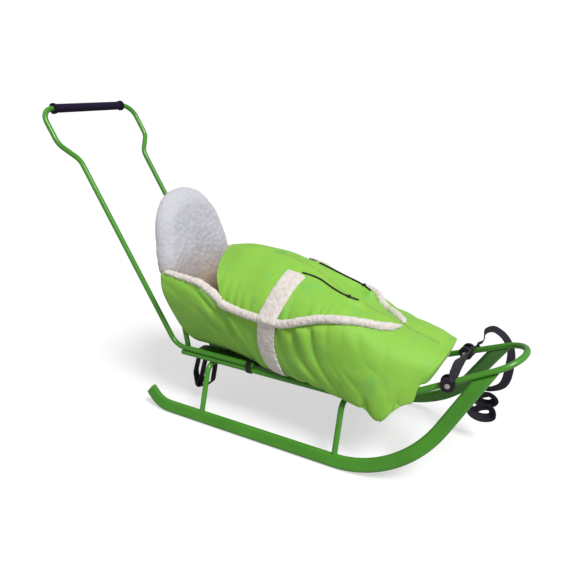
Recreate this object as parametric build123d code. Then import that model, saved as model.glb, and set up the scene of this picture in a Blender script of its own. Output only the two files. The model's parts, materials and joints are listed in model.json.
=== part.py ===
from build123d import *
import os
from math import atan, cos, radians, sin, tan

# A child's steel push sled with a fleece-lined footmuff. Millimetres, X forward, Y left, Z up.
# Stations along X are measured from a datum in the middle of the seat. At the end every piece
# is shifted so that the origin lies under the middle of the overall length.

# Tubing and fits
TUBE_D = 16.0
FIT = 0.3
# Cutting blocks reach this far, past every piece
REACH = 2000.0

# Runners: flat-oval tube, bent in a plane that leans inwards
RUNNER_H = 38.0
RUNNER_T = 18.0
RUNNER_TRACK = 406.0
SIDE_LEAN = 21.5
HEEL_X = -551.0
HEEL_ANGLE = 36.0
HEEL_LENGTH = 61.0
HEEL_R = 110.0
TOE_X = 236.0
TOE_ANGLE = 62.0
TOE_LENGTH = 400.0
TOE_R = 301.0

# Arches: one bent tube from runner to runner
ARCH_X = {"rear": -390.0, "front": 56.0}
ARCH_Z = 169.0
ARCH_SPREAD = 310.0
ARCH_R = 28.0

# Rails and front loop: one bent tube that lies on the arches
RAIL_Y = 140.0
RAIL_REAR_X = -500.0
LOOP_BEND_X = 134.0
LOOP_BEND_R = 120.0
LOOP_RISE = 25.7
LOOP_TAPER = 11.6
LOOP_R = 84.0

# Seat slats, screwed down on the arches
SLAT_COUNT = 4
SLAT_W = 46.0
SLAT_T = 9.0
SLAT_PITCH = 60.0
SLAT_REAR_X = -470.0
SLAT_FRONT_X = 118.0
SLAT_END_R = 12.0

# Backrest: an upside-down U of tube between the rails
BACK_X = -488.0
BACK_LEAN = 9.0
BACK_HEIGHT = 455.0
BACK_DROP = 8.0
BACK_R = 90.0

# Push handle: lies on the rails, rises to the rear, spreads and closes across the top
HANDLE_FRONT_X = -236.0
HANDLE_BEND_X = -524.0
HANDLE_ANGLE = 59.1
HANDLE_LEG = 651.0
HANDLE_BEND_R = 60.0
HANDLE_SPREAD = 50.0
HANDLE_FLARE = 60.0
HANDLE_TOP = 178.0
HANDLE_NECK_R = 50.0
HANDLE_CORNER_R = 45.0
GRIP_D = 27.0
GRIP_LENGTH = 288.0
GRIP_FLANGE_D = 33.0
GRIP_FLANGE_W = 7.0

# Clips that hold the handle's legs on the rails
CLIP_X = -248.0
CLIP_W = 16.0
CLIP_T = 3.0

# Round knobs that pinch the tow strap on the front loop
KNOB_X = 316.0
KNOB_D = 38.0
KNOB_T = 9.0
KNOB_BOLT_D = 6.0
KNOB_HEAD_D = 13.0
KNOB_HEAD_T = 3.0

# Footmuff: hollow padded body, lofted through smooth outlines across X. Its foot end hangs down
# outside the rising legs of the front loop.
BAG_WALL = 8.0
BAG_SECTIONS = [
    # x, crest z, shoulder y z, seam y z, belly y z, low corner y z, underside y z
    (-580.0, 522.0, 104.0, 506.0, 164.0, 450.0, 157.0, 316.0, 108.0, 193.5, 60.0, 188.2),
    (-440.0, 514.0, 88.0, 496.0, 166.0, 446.0, 156.0, 308.0, 108.0, 193.5, 60.0, 188.2),
    (-330.0, 519.0, 58.0, 500.0, 168.0, 396.0, 156.0, 290.0, 108.0, 193.5, 60.0, 188.2),
    (-230.0, 513.0, 52.0, 499.0, 171.0, 378.0, 160.0, 288.0, 110.0, 195.0, 62.0, 189.5),
    (-100.0, 482.0, 50.0, 473.0, 176.0, 373.0, 174.0, 292.0, 160.0, 203.0, 145.0, 199.0),
    (30.0, 431.0, 66.0, 424.0, 166.0, 391.0, 177.0, 295.0, 168.0, 193.0, 150.0, 200.0),
    (120.0, 392.0, 82.0, 387.0, 146.0, 368.0, 173.0, 280.0, 174.0, 177.0, 150.0, 205.0),
    (170.0, 370.0, 88.0, 366.0, 136.0, 346.0, 166.0, 264.0, 174.0, 164.0, 143.0, 219.0),
    (215.0, 350.0, 86.0, 346.0, 124.0, 327.0, 149.0, 270.0, 155.0, 203.0, 136.0, 243.0),
    (256.0, 333.0, 76.0, 330.0, 107.0, 315.0, 126.0, 284.0, 132.0, 247.0, 122.0, 263.0),
    (290.0, 319.0, 60.0, 317.0, 92.0, 306.0, 106.0, 297.0, 104.0, 281.0, 90.0, 277.0),
]
MOUTH_Z = 448.0
APRON_EDGE = [(-323.0, 390.0), (-409.0, 507.0)]
APRON_SEAM = [(-323.0, 390.0), (-112.0, 371.0), (44.0, 392.0)]
APRON_TIP_X = 170.0
APRON_TIP_Z = 300.0
APRON_HALF = 160.0
APRON_SEAM_GAP = 1.0
MUFF_BACK_HALF = 142.0
MUFF_BACK_T = 46.0
MUFF_BACK_LOW = 118.0
MUFF_BACK_TOP = 487.0
MUFF_BACK_R = 125.0
MUFF_BACK_LOW_R = 15.0

# Fleece trim on the footmuff
PIPING_D = 16.0
PIPING_LINE = [
    # x, y, z along the left seam of the apron, from the mouth to its tip
    (-322.0, 171.0, 390.0),
    (-112.0, 175.0, 371.0),
    (36.0, 163.0, 391.0),
    (76.0, 121.0, 400.0),
    (162.0, 9.0, 381.0),
]
PIPING_R = [300.0, 120.0, 40.0]
RIM_D = 22.0
RIM_REAR_X = -500.0
RIM_SETBACK = 14.0
RIM_BEND_R = 60.0
BELT_X = -154.0
BELT_W = 60.0
BELT_T = 8.0
BELT_END_Y = 60.0
BELT_LOW_Z = 196.0

# Black webbing: paths in upright planes, as x and z
WEB_W = 25.0
WEB_T = 2.4
TOW_Y = 110.0
TOW_LINE = [
    (338.0, 297.0),
    (356.0, 305.7),
    (358.0, 344.0),
    (394.0, 346.0),
    (421.0, 316.0),
    (428.0, 250.0),
    (412.0, 186.0),
    (352.0, 160.0),
    (394.0, 146.0),
    (354.0, 122.0),
    (392.0, 108.0),
    (360.0, 86.0),
    (386.0, 78.0),
]
TOW_R = [5.0, 5.0, 16.0, 18.0, 40.0, 14.0, 4.0, 4.0, 4.0, 4.0, 4.0]
CROSS_GAP = 2.0
CROSS_WRAP = 14.0
SEAT_STRAP_Y = -96.0
SEAT_STRAP_TAIL = [(-440.0, 176.0), (-470.0, 78.0)]
SEAT_STRAP_LOOP = [(-466.0, 176.0), (-490.0, 100.0), (-484.0, 46.0), (-424.0, 74.0), (-402.0, 176.0)]
SEAT_STRAP_R = [40.0, 10.0, 30.0]
BUCKLE_W = 34.0
BUCKLE_L = 24.0
BUCKLE_T = 6.0
BUCKLE_BAR = 5.0

# Drawcord of the apron, from under the end of a belt to its bare tip, with a knot near it
CORD_D = 4.5
CORD_LINE = [
    (-119.0, 53.0, 480.5),
    (-76.0, 43.0, 472.5),
    (-32.0, 52.0, 452.5),
    (22.0, 57.0, 434.5),
    (47.0, 43.0, 425.5),
]
CORD_BEND = 0.45
KNOT_D = 11.0

# Derived places
ON_FLOOR = (Align.CENTER, Align.CENTER, Align.MIN)
tube_r = TUBE_D / 2
lean = radians(SIDE_LEAN)
runner_r = RUNNER_T / 2
runner_z = (RUNNER_H / 2 - runner_r) * cos(lean) + runner_r
rail_z = ARCH_Z + TUBE_D + FIT
slat_z = ARCH_Z + tube_r + FIT
handle_z = rail_z + TUBE_D + FIT
back_y = RAIL_Y - TUBE_D - FIT
rise = radians(LOOP_RISE)
taper = radians(LOOP_TAPER)
handle_angle = radians(HANDLE_ANGLE)
back_lean = radians(BACK_LEAN)
back_plane = Plane(
    origin=(BACK_X, 0, rail_z),
    x_dir=(0, 1, 0),
    z_dir=(cos(back_lean), 0, sin(back_lean)),
)
# The two legs of the front loop would meet at this point, where one large arc joins them.
apex_run = RAIL_Y / tan(taper)
apex = Vector(LOOP_BEND_X + apex_run, 0, rail_z + apex_run * tan(rise))
loop_half_angle = atan(RAIL_Y / (apex_run / cos(rise)))
loop_tip = apex - (LOOP_R / sin(loop_half_angle) - LOOP_R) * Vector(cos(rise), 0, sin(rise))
leg_foot = Vector(LOOP_BEND_X, RAIL_Y, rail_z)
leg_dir = (apex - leg_foot).normalized()


def along_leg(x):
    """Point on the centre line of the loop's left leg at station x."""
    return leg_foot + leg_dir * ((x - LOOP_BEND_X) / leg_dir.X)


def tube(path, diameter):
    """Round bar along a path."""
    section = Plane(origin=path @ 0, z_dir=path % 0) * Circle(diameter / 2)
    return sweep(section, path=path)


def largest(part):
    """The biggest solid of a cut."""
    return part.solids().sort_by(SortBy.VOLUME)[-1]


def mirrored(part):
    """The same piece on the other side of the sled."""
    return mirror(part, about=Plane.XZ)


def ribbon(points, radii, plane):
    """Flat webbing whose edge follows points in a plane and whose width is square to it."""
    line = FilletPolyline(*points, radius=radii) if radii else Polyline(*points)
    return plane * extrude(trace(line, WEB_T), WEB_W / 2, both=True)


def runner_path():
    """Centre line of the left runner, in its leaning plane."""
    plane = Plane(
        origin=(0, RUNNER_TRACK / 2, runner_z),
        x_dir=(1, 0, 0),
        z_dir=(0, -cos(lean), -sin(lean)),
    )
    heel, toe = radians(HEEL_ANGLE), radians(TOE_ANGLE)
    return plane * FilletPolyline(
        (HEEL_X - HEEL_LENGTH * cos(heel), HEEL_LENGTH * sin(heel)),
        (HEEL_X, 0),
        (TOE_X, 0),
        (TOE_X + TOE_LENGTH * cos(toe), TOE_LENGTH * sin(toe)),
        radius=[HEEL_R, TOE_R],
    )


def runner_bar(extra):
    """Left runner before its tip is cut, with its section grown by extra all round."""
    path = runner_path()
    side_normal = Vector(0, -cos(lean), -sin(lean))
    start = Plane(origin=path @ 0, x_dir=side_normal.cross(path % 0), z_dir=path % 0)
    return sweep(start * SlotOverall(RUNNER_H + 2 * extra, RUNNER_T + 2 * extra), path=path)


def loop_path():
    """Centre line of both rails and the front loop."""
    return FilletPolyline(
        (RAIL_REAR_X, RAIL_Y, rail_z),
        (LOOP_BEND_X, RAIL_Y, rail_z),
        apex,
        (LOOP_BEND_X, -RAIL_Y, rail_z),
        (RAIL_REAR_X, -RAIL_Y, rail_z),
        radius=[LOOP_BEND_R, LOOP_R, LOOP_BEND_R],
    )


def above_loop():
    """Block of space above the underside of the front loop's tube."""
    slope = Plane(
        origin=along_leg(KNOB_X), x_dir=(0, 1, 0), z_dir=(-sin(rise), 0, cos(rise))
    )
    block = Box(2 * RUNNER_TRACK, 2 * TOE_LENGTH, TOE_LENGTH, align=ON_FLOOR)
    return slope * Pos(0, 0, -tube_r - FIT) * block


def make_runner():
    """Left runner, its tip cut to lie under the front loop."""
    return runner_bar(0) - above_loop()


def make_arch(x):
    """Bent tube from runner to runner, its feet coped to the runners."""
    path = FilletPolyline(
        (x, RUNNER_TRACK / 2, runner_z),
        (x, ARCH_SPREAD / 2, ARCH_Z),
        (x, -ARCH_SPREAD / 2, ARCH_Z),
        (x, -RUNNER_TRACK / 2, runner_z),
        radius=ARCH_R,
    )
    left = runner_bar(FIT)
    return largest(tube(path, TUBE_D) - left - mirrored(left))


def make_slat(y):
    """Seat slat that lies along the sled."""
    outline = Rectangle(SLAT_FRONT_X - SLAT_REAR_X, SLAT_W)
    outline = fillet(outline.vertices(), SLAT_END_R)
    return Pos((SLAT_FRONT_X + SLAT_REAR_X) / 2, y, slat_z) * extrude(outline, SLAT_T)


def backrest_path():
    """Centre line of the backrest's tube, in its leaning plane."""
    return back_plane * FilletPolyline(
        (back_y, -BACK_DROP),
        (back_y, BACK_HEIGHT),
        (-back_y, BACK_HEIGHT),
        (-back_y, -BACK_DROP),
        radius=BACK_R,
    )


def handle_point(y, up):
    """Point in the sloping plane of the handle, up from the end of its legs' straight run."""
    reach = HANDLE_LEG + up
    return (HANDLE_BEND_X - reach * cos(handle_angle), y, handle_z + reach * sin(handle_angle))


def handle_path():
    """Centre line of the push handle."""
    wide = RAIL_Y + HANDLE_SPREAD
    left = [
        (HANDLE_FRONT_X, RAIL_Y, handle_z),
        (HANDLE_BEND_X, RAIL_Y, handle_z),
        handle_point(RAIL_Y, 0),
        handle_point(wide, HANDLE_FLARE),
        handle_point(wide, HANDLE_TOP),
    ]
    right = [(x, -y, z) for x, y, z in reversed(left)]
    bends = [HANDLE_BEND_R, HANDLE_NECK_R, HANDLE_NECK_R, HANDLE_CORNER_R]
    return FilletPolyline(*left, *right, radius=bends + bends[::-1])


def make_grip():
    """Foam sleeve on the handle's top bar, with a flange at each end."""
    sleeve = Cylinder(GRIP_D / 2, GRIP_LENGTH)
    for end in (-1, 1):
        sleeve += Pos(0, 0, end * (GRIP_LENGTH - GRIP_FLANGE_W) / 2) * Cylinder(
            GRIP_FLANGE_D / 2, GRIP_FLANGE_W
        )
    sleeve -= Cylinder(tube_r + FIT, GRIP_LENGTH)
    return Pos(*handle_point(0, HANDLE_TOP)) * Rot(X=90) * sleeve


def make_clip():
    """Band round the left rail and the handle's leg on it."""
    stacked = 2 * TUBE_D + FIT
    band = SlotOverall(stacked + 2 * (FIT + CLIP_T), TUBE_D + 2 * (FIT + CLIP_T), rotation=90)
    band -= SlotOverall(stacked + 2 * FIT, TUBE_D + 2 * FIT, rotation=90)
    place = Plane.YZ.offset(CLIP_X) * Pos(RAIL_Y, (rail_z + handle_z) / 2)
    return extrude(place * band, CLIP_W / 2, both=True)


def knob_plane(side):
    """Plane on the loop's left leg at the knobs, facing out (1) or in (-1)."""
    across = Vector(0, 1, 0) - leg_dir * leg_dir.Y
    return Plane(origin=along_leg(KNOB_X), x_dir=leg_dir, z_dir=across * side)


def make_knob():
    """Two round knobs, one on each side of the loop's left leg."""
    knob = Pos(0, 0, tube_r + FIT) * Cylinder(KNOB_D / 2, KNOB_T, align=ON_FLOOR)
    knob -= Cylinder(KNOB_BOLT_D / 2 + FIT, 2 * KNOB_D)
    knob = fillet(knob.faces().sort_by(Axis.Z)[-1].outer_wire().edges(), KNOB_T / 3)
    return Compound([knob_plane(side) * knob for side in (1, -1)])


def make_knob_bolt():
    """Screw heads that stand on the outer faces of a pair of knobs."""
    seat = tube_r + KNOB_T + 2 * FIT
    head = Pos(0, 0, seat) * Cylinder(KNOB_HEAD_D / 2, KNOB_HEAD_T, align=ON_FLOOR)
    return Compound([knob_plane(side) * head for side in (1, -1)])


def bag_outline(points, x):
    """Smooth closed outline at station x through the points of its left half, crest to underside."""
    crest, *half = points
    around = [crest] + half + [(0, half[-1][1])] + [(-y, z) for y, z in reversed(half)]
    return Plane.YZ.offset(x) * make_face(Spline(*around, periodic=True))


def bag_half(row, extra):
    """Points of the left half of the footmuff's outline, moved out by extra."""
    x, crest_z, *values = row
    points = [Vector(0, crest_z)]
    points += [Vector(y, z) for y, z in zip(values[::2], values[1::2])]
    ends = [Vector(-points[1].X, points[1].Y)] + points + [Vector(0, points[-1].Y)]
    moved = []
    for before, here, after in zip(ends, points, ends[2:]):
        along = (after - before).normalized()
        moved.append((here.X - extra * along.Y, here.Y + extra * along.X))
    return moved


def bag_body(extra):
    """Whole footmuff as one solid, grown by extra."""
    rows = [list(row) for row in BAG_SECTIONS]
    rows[-1][0] += extra
    return loft([bag_outline(bag_half(row, extra), row[0]) for row in rows])


def bag_room():
    """Space inside the footmuff's walls, short of the nose; the low corners stay solid."""
    sections = []
    for row in BAG_SECTIONS[:-1]:
        *walls, (low_y, low_z), (under_y, under_z) = bag_half(row, 0)
        floor_half = low_y if low_z > under_z else under_y
        floor_z = max(low_z, under_z)
        half = bag_half(row, -BAG_WALL)[: len(walls)]
        half.append((floor_half - BAG_WALL, floor_z + BAG_WALL))
        half.append((floor_half / 2, under_z + BAG_WALL))
        sections.append(bag_outline(half, row[0]))
    return loft(sections)


def muff_back_block(extra):
    """Padded back of the footmuff, which slips over the backrest, grown by extra."""
    half = MUFF_BACK_HALF + extra
    low, top = MUFF_BACK_LOW - extra, MUFF_BACK_TOP + extra
    outline = FilletPolyline(
        (-half, low),
        (half, low),
        (half, top),
        (-half, top),
        radius=[MUFF_BACK_LOW_R, MUFF_BACK_LOW_R, MUFF_BACK_R, MUFF_BACK_R],
        close=True,
    )
    return extrude(back_plane * make_face(outline), MUFF_BACK_T / 2 + extra, both=True)


def behind_back(offset):
    """Space behind a plane that lies offset in front of the backrest's tube."""
    block = Box(REACH, REACH, REACH, align=(Align.CENTER, Align.CENTER, Align.MAX))
    return back_plane * Pos(0, 0, offset) * block


def apron_space(gap):
    """Space that the footmuff's apron takes out of its body, grown by gap."""
    (low_x, low_z), (high_x, high_z) = APRON_EDGE
    lean_x = (high_x - low_x) / (high_z - low_z)
    taper_x = APRON_SEAM[-1][0] + gap
    side = [(low_x + lean_x * (REACH - low_z) - gap, REACH)]
    side += [(x - gap, z - gap) for x, z in APRON_SEAM[:1]]
    side += [(x, z - gap) for x, z in APRON_SEAM[1:-1]]
    side += [(taper_x, APRON_SEAM[-1][1] - gap), (taper_x, REACH)]
    rear = extrude(Plane.XZ * make_face(Polyline(*side, close=True)), REACH, both=True)
    half, base_x = APRON_HALF + 3 * gap, APRON_SEAM[-1][0] - gap
    tip = Polyline((base_x, -half), (APRON_TIP_X + gap, 0), (base_x, half), close=True)
    return rear + Pos(0, 0, APRON_TIP_Z) * extrude(make_face(tip), REACH)


def make_bag():
    """Tub and apron of the footmuff, cut from one hollow body."""
    body, room = bag_body(0), bag_room()
    apron = (body - room) & apron_space(0)
    tub = body - (room - behind_back(tube_r + FIT + BAG_WALL))
    tub -= behind_back(tube_r + FIT)
    tub -= apron_space(APRON_SEAM_GAP)
    tub -= muff_back_block(FIT)
    over = Box(REACH, REACH, REACH, align=(Align.MAX, Align.CENTER, Align.MIN))
    tub -= Pos(APRON_EDGE[0][0], 0, MOUTH_Z) * over
    rim = rim_roll(RIM_D + 2 * FIT)
    tub -= rim
    tub -= mirrored(rim)
    return largest(tub), largest(apron)


def belt_slab(extra):
    """Slice of space that the left fleece belt takes, grown by extra."""
    size = (BELT_W + 2 * extra, RUNNER_TRACK, RUNNER_TRACK)
    corner = (Align.CENTER, Align.MIN, Align.MIN)
    return Pos(BELT_X, BELT_END_Y - extra, BELT_LOW_Z) * Box(*size, align=corner)


def make_belt():
    """Left fleece belt that comes up round the footmuff's side onto its apron."""
    return (bag_body(BELT_T) - bag_body(FIT)) & belt_slab(0)


def make_piping():
    """Fleece roll on the left seam of the apron, open where the belt crosses it."""
    roll = tube(FilletPolyline(*PIPING_LINE, radius=PIPING_R), PIPING_D)
    return roll - bag_body(FIT) - belt_slab(FIT)


def rim_roll(diameter):
    """Roll along the edge of the left side of the mouth, down to the end of the apron."""
    (low_x, low_z), (high_x, high_z) = APRON_EDGE
    lean_x = (high_x - low_x) / (high_z - low_z)
    roll_z = MOUTH_Z + RIM_D / 2 + FIT
    edge = [(RIM_REAR_X, roll_z)]
    edge += [(low_x - RIM_SETBACK + lean_x * (z - low_z), z) for z in (roll_z, low_z)]
    body = bag_body(0)
    points = []
    for x, z in edge:
        points.append((x, bag_half_width(body, x, min(z, MOUTH_Z)) - BAG_WALL / 2, z))
    return tube(FilletPolyline(*points, radius=RIM_BEND_R), diameter)


def make_rim():
    """Fleece roll on the edge of the left side of the mouth."""
    return largest(rim_roll(RIM_D) - muff_back_block(FIT) - apron_space(FIT))


def bag_half_width(body, x, z):
    """Half width of the footmuff's body at a station and a height."""
    ray = Axis((x, 0, z), (0, 1, 0))
    hits = body.find_intersection_points(ray)
    return max(point.Y for point, normal in hits)


def make_tow_strap():
    """Tow strap over the loop's left leg, its slack folded up below."""
    return ribbon(TOW_LINE, TOW_R, Plane.XZ.offset(-TOW_Y))


def make_cross_strap():
    """Webbing that lies across the loop from leg to leg, in front of the knobs."""
    station = KNOB_X + (KNOB_D / 2 + CROSS_GAP + WEB_W / 2) * cos(rise)
    leg = along_leg(station)
    over = tube_r + FIT + WEB_T / 2
    half = leg.Y + over / cos(loop_half_angle) + WEB_W / 2 * tan(loop_half_angle)
    plane = Plane(
        origin=(leg.X, 0, leg.Z), x_dir=(0, 1, 0), z_dir=(cos(rise), 0, sin(rise))
    )
    points = [(-half, over - CROSS_WRAP), (-half, over), (half, over), (half, over - CROSS_WRAP)]
    return ribbon(points, WEB_T * 2, plane)


def cord_path():
    """Centre line of the left drawcord: straight runs joined by tangent arcs."""
    points = [Vector(*point) for point in CORD_LINE]
    radii = []
    for before, here, after in zip(points, points[1:], points[2:]):
        shorter = min((here - before).length, (after - here).length)
        turn = radians((here - before).get_angle(after - here))
        radii.append(CORD_BEND * shorter / tan(turn / 2))
    print("cord radii", [round(radius, 1) for radius in radii])
    return FilletPolyline(*points, radius=radii)


def make_drawcord():
    """Left half of the apron's drawcord."""
    return tube(cord_path(), CORD_D)


def make_knot():
    """Overhand knot on the left drawcord, near its tip."""
    return Pos(*CORD_LINE[-2]) * Sphere(KNOT_D / 2) - tube(cord_path(), CORD_D + 2 * FIT)


def make_seat_straps():
    """Loose webbing that hangs from the seat, with a plain end beside its loop."""
    plane = Plane.XZ.offset(-SEAT_STRAP_Y)
    loop = ribbon(SEAT_STRAP_LOOP, SEAT_STRAP_R, plane)
    tail = ribbon(SEAT_STRAP_TAIL, None, plane)
    return Compound([loop, tail])


def make_buckle():
    """Ladder buckle at the end of the seat's webbing."""
    frame = Rectangle(BUCKLE_W, BUCKLE_L)
    window = Rectangle(BUCKLE_W - 2 * BUCKLE_BAR, (BUCKLE_L - 3 * BUCKLE_BAR) / 2)
    shift = (BUCKLE_L - BUCKLE_BAR) / 4
    frame -= Pos(0, shift) * window
    frame -= Pos(0, -shift) * window
    (top_x, top_z), (end_x, end_z) = SEAT_STRAP_TAIL
    down = Vector(end_x - top_x, 0, end_z - top_z).normalized()
    centre = Vector(end_x, SEAT_STRAP_Y, end_z) + down * (BUCKLE_L / 2 + FIT)
    place = Plane(origin=centre, x_dir=(0, 1, 0), z_dir=down.cross(Vector(0, 1, 0)))
    return place * extrude(frame, BUCKLE_T / 2, both=True)


PAIRS = {
    "clip": make_clip,
    "knob": make_knob,
    "knob_bolt": make_knob_bolt,
    "bag_rim": make_rim,
    "bag_piping": make_piping,
    "bag_belt": make_belt,
    "drawcord": make_drawcord,
    "cord_knot": make_knot,
}

pieces = {}
pieces["runner_left"] = largest(make_runner())
pieces["runner_right"] = mirrored(pieces["runner_left"])
for name, x in ARCH_X.items():
    pieces["arch_" + name] = make_arch(x)
pieces["frame_loop"] = tube(loop_path(), TUBE_D)
for number in range(SLAT_COUNT):
    slat_y = (number - (SLAT_COUNT - 1) / 2) * SLAT_PITCH
    pieces[f"seat_slat_{number + 1}"] = make_slat(slat_y)
pieces["backrest_frame"] = tube(backrest_path(), TUBE_D)
pieces["push_handle"] = tube(handle_path(), TUBE_D)
pieces["handle_grip"] = make_grip()
bag_tub, bag_apron = make_bag()
pieces["bag_tub"] = bag_tub
pieces["bag_apron"] = bag_apron
pieces["bag_back"] = muff_back_block(0) - tube(backrest_path(), TUBE_D + 2 * FIT)
for name, make in PAIRS.items():
    pieces[f"{name}_left"] = make()
    pieces[f"{name}_right"] = mirrored(pieces[f"{name}_left"])
pieces["tow_strap"] = make_tow_strap()
pieces["cross_strap"] = make_cross_strap()
pieces["seat_straps"] = make_seat_straps()
pieces["strap_buckle"] = make_buckle()

x_front = loop_tip.X + tube_r
x_rear = handle_point(0, HANDLE_TOP)[0] - GRIP_FLANGE_D / 2
middle = (x_front + x_rear) / 2
os.makedirs("parts", exist_ok=True)
for name, piece in pieces.items():
    export_step(Pos(-middle, 0, 0) * piece, f"parts/{name}.step")
print("shift", -middle, "front", x_front - middle, "rear", x_rear - middle)
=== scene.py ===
import json
from math import cos, exp, pi, radians, sin, tan

import bmesh
import bpy
import numpy as np
from mathutils import Matrix, Vector, noise


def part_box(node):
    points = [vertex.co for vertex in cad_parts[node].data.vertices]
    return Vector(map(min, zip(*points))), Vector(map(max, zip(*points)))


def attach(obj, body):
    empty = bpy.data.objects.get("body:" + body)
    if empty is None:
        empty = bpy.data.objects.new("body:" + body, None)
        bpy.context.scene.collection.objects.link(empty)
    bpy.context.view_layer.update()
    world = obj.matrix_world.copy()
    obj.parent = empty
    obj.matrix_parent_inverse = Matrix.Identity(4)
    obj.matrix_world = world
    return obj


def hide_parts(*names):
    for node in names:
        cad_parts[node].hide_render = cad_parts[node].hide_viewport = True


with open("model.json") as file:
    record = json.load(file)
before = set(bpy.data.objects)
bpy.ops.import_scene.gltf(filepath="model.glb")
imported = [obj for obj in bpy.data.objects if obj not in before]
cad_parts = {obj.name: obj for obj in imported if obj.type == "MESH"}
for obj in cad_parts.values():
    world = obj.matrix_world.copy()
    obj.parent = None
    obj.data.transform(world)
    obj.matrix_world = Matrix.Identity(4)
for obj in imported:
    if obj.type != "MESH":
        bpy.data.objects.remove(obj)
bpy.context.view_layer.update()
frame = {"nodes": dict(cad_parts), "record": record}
nodes = frame["nodes"]

# The footmuff is laid out in millimetres, with stations along X from the middle of the seat.
MM = 0.001
SEAT_X = 0.24133

# Camera, from a perspective fit of the photograph, and light
CAMERA_AT = Vector((0.8393, -1.3852, 0.9720))
AZIMUTH, ELEVATION, ROLL = radians(30.16), radians(19.25), radians(-0.6)
LENS = 36.0
KEY_FROM, KEY_POWER, KEY_SPREAD = (0.66, -0.3, 1.0), 3.3, 20.0
SKY_LIGHT = 0.38
FLOOR_BOUNCE, FLOOR_SEEN, FLOOR_GLOW = 0.45, 0.92, 0.58

# Footmuff: nodes of one half of its outline at each station
SECTIONS = [
    # x, crest z, shoulder y z, belly y z, low corner y z, underside y z
    (-480.0, 514.0, 80.0, 492.0, 158.0, 318.0, 88.0, 206.0, 50.0, 190.0),
    (-409.0, 508.0, 66.0, 484.0, 158.0, 302.0, 88.0, 206.0, 50.0, 190.0),
    (-330.0, 519.0, 58.0, 500.0, 157.0, 290.0, 92.0, 204.0, 54.0, 190.0),
    (-230.0, 513.0, 52.0, 499.0, 161.0, 288.0, 112.0, 197.0, 64.0, 190.0),
    (-160.0, 499.0, 50.0, 487.0, 168.0, 296.0, 124.0, 199.0, 92.0, 193.0),
    (-100.0, 482.0, 50.0, 473.0, 174.0, 298.0, 142.0, 201.0, 126.0, 197.0),
    (30.0, 431.0, 66.0, 424.0, 177.0, 300.0, 154.0, 193.0, 140.0, 200.0),
    (120.0, 392.0, 82.0, 387.0, 174.0, 284.0, 169.0, 178.0, 149.0, 205.0),
    (170.0, 370.0, 88.0, 366.0, 166.0, 264.0, 176.0, 162.0, 143.0, 219.0),
    (215.0, 350.0, 86.0, 346.0, 149.0, 270.0, 155.0, 203.0, 136.0, 243.0),
    (256.0, 333.0, 76.0, 330.0, 126.0, 284.0, 132.0, 247.0, 122.0, 263.0),
    (290.0, 319.0, 60.0, 317.0, 106.0, 297.0, 104.0, 281.0, 90.0, 277.0),
]
# Edge of the mouth, then the side seam of the apron, then the shoulder of the toe box
EDGE = [
    # x, y, z
    (-480.0, 164.0, 452.0),
    (-453.0, 165.0, 449.0),
    (-399.0, 166.0, 436.0),
    (-353.0, 167.0, 413.0),
    (-323.0, 168.0, 395.0),
    (-258.0, 170.0, 381.0),
    (-198.0, 172.0, 376.0),
    (-112.0, 176.0, 372.0),
    (-40.0, 174.0, 382.0),
    (30.0, 166.0, 391.0),
    (120.0, 146.0, 368.0),
    (170.0, 136.0, 346.0),
    (215.0, 124.0, 327.0),
    (256.0, 107.0, 315.0),
    (290.0, 92.0, 306.0),
]
# Where the seam of the apron leaves the side on each side, as outline nodes from the crest
SEAM_NEAR = [
    (-323.0, 2.0),
    (-112.0, 2.0),
    (-24.0, 1.88),
    (44.0, 1.78),
    (100.0, 1.47),
    (140.0, 1.02),
    (162.0, 0.55),
    (173.0, 0.0),
]
SEAM_FAR = [
    (-323.0, 2.0),
    (-112.0, 2.0),
    (-24.0, 1.88),
    (44.0, 1.45),
    (70.0, 1.1),
    (100.0, 0.75),
    (135.0, 0.35),
    (173.0, 0.0),
]
SEAM, LOW = 2, 4
HALF_TURN, TURN = 6, 12
MOUTH_X, APRON_X, REAR_CREST_X, TIP_X = -323.0, -311.0, -396.0, 172.0
REAR_X, NOSE_X, CAP = -462.0, 272.0, 16.0
# Rear end of the footmuff at each height, and where its sides start to follow it
REAR_LINE = [
    # z, x
    (185.0, -470.0),
    (234.0, -482.0),
    (264.0, -493.0),
    (312.0, -506.0),
    (352.0, -518.0),
    (392.0, -528.0),
    (424.0, -533.0),
    (456.0, -536.0),
    (520.0, -540.0),
]
REAR_FROM = -400.0
# The tub closes behind the back, this far under its rim and behind its rear end
REAR_DIP, REAR_DEEP = 70.0, 45.0
# Pointed corners under the toes, and the right corner of the nose
EAR_X, EAR_DROP, EAR_PINCH = 168.0, 26.0, 9.0
CORNER_X, CORNER_DROP = 244.0, 24.0
# The end of the nose leans forward over its foot
NOSE_FROM, NOSE_LEAN, NOSE_Z = 245.0, 0.4, 308.0
# How far the top sinks towards the left: along the footmuff, and the share of it across the width
SAG_X = (-120.0, -50.0, 20.0, 95.0, 150.0, 210.0, 245.0)
SAG = (0.0, 13.0, 30.0, 36.0, 26.0, 8.0, 0.0)
SAG_Y, SAG_SHARE = (-90.0, -30.0, 0.0, 35.0, 65.0), (0.0, 0.35, 0.6, 0.8, 1.0)
SAG_FOOT, SAG_HEAD = 250.0, 330.0
# Folds of the tub's nylon
FOLDS = [
    # depth, middle x, reach, pitch, lean
    (10.0, -60.0, 90.0, 51.0, 0.0),
    (5.0, -330.0, 110.0, 64.0, 0.35),
    (4.0, 120.0, 90.0, 73.0, 0.0),
]
# Flap of the rear panel on the right, and its slant
FLAP_X, FLAP_Z, FLAP_LEAN, FLAP_REACH = -320.0, 390.0, 0.56, 60.0
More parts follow.
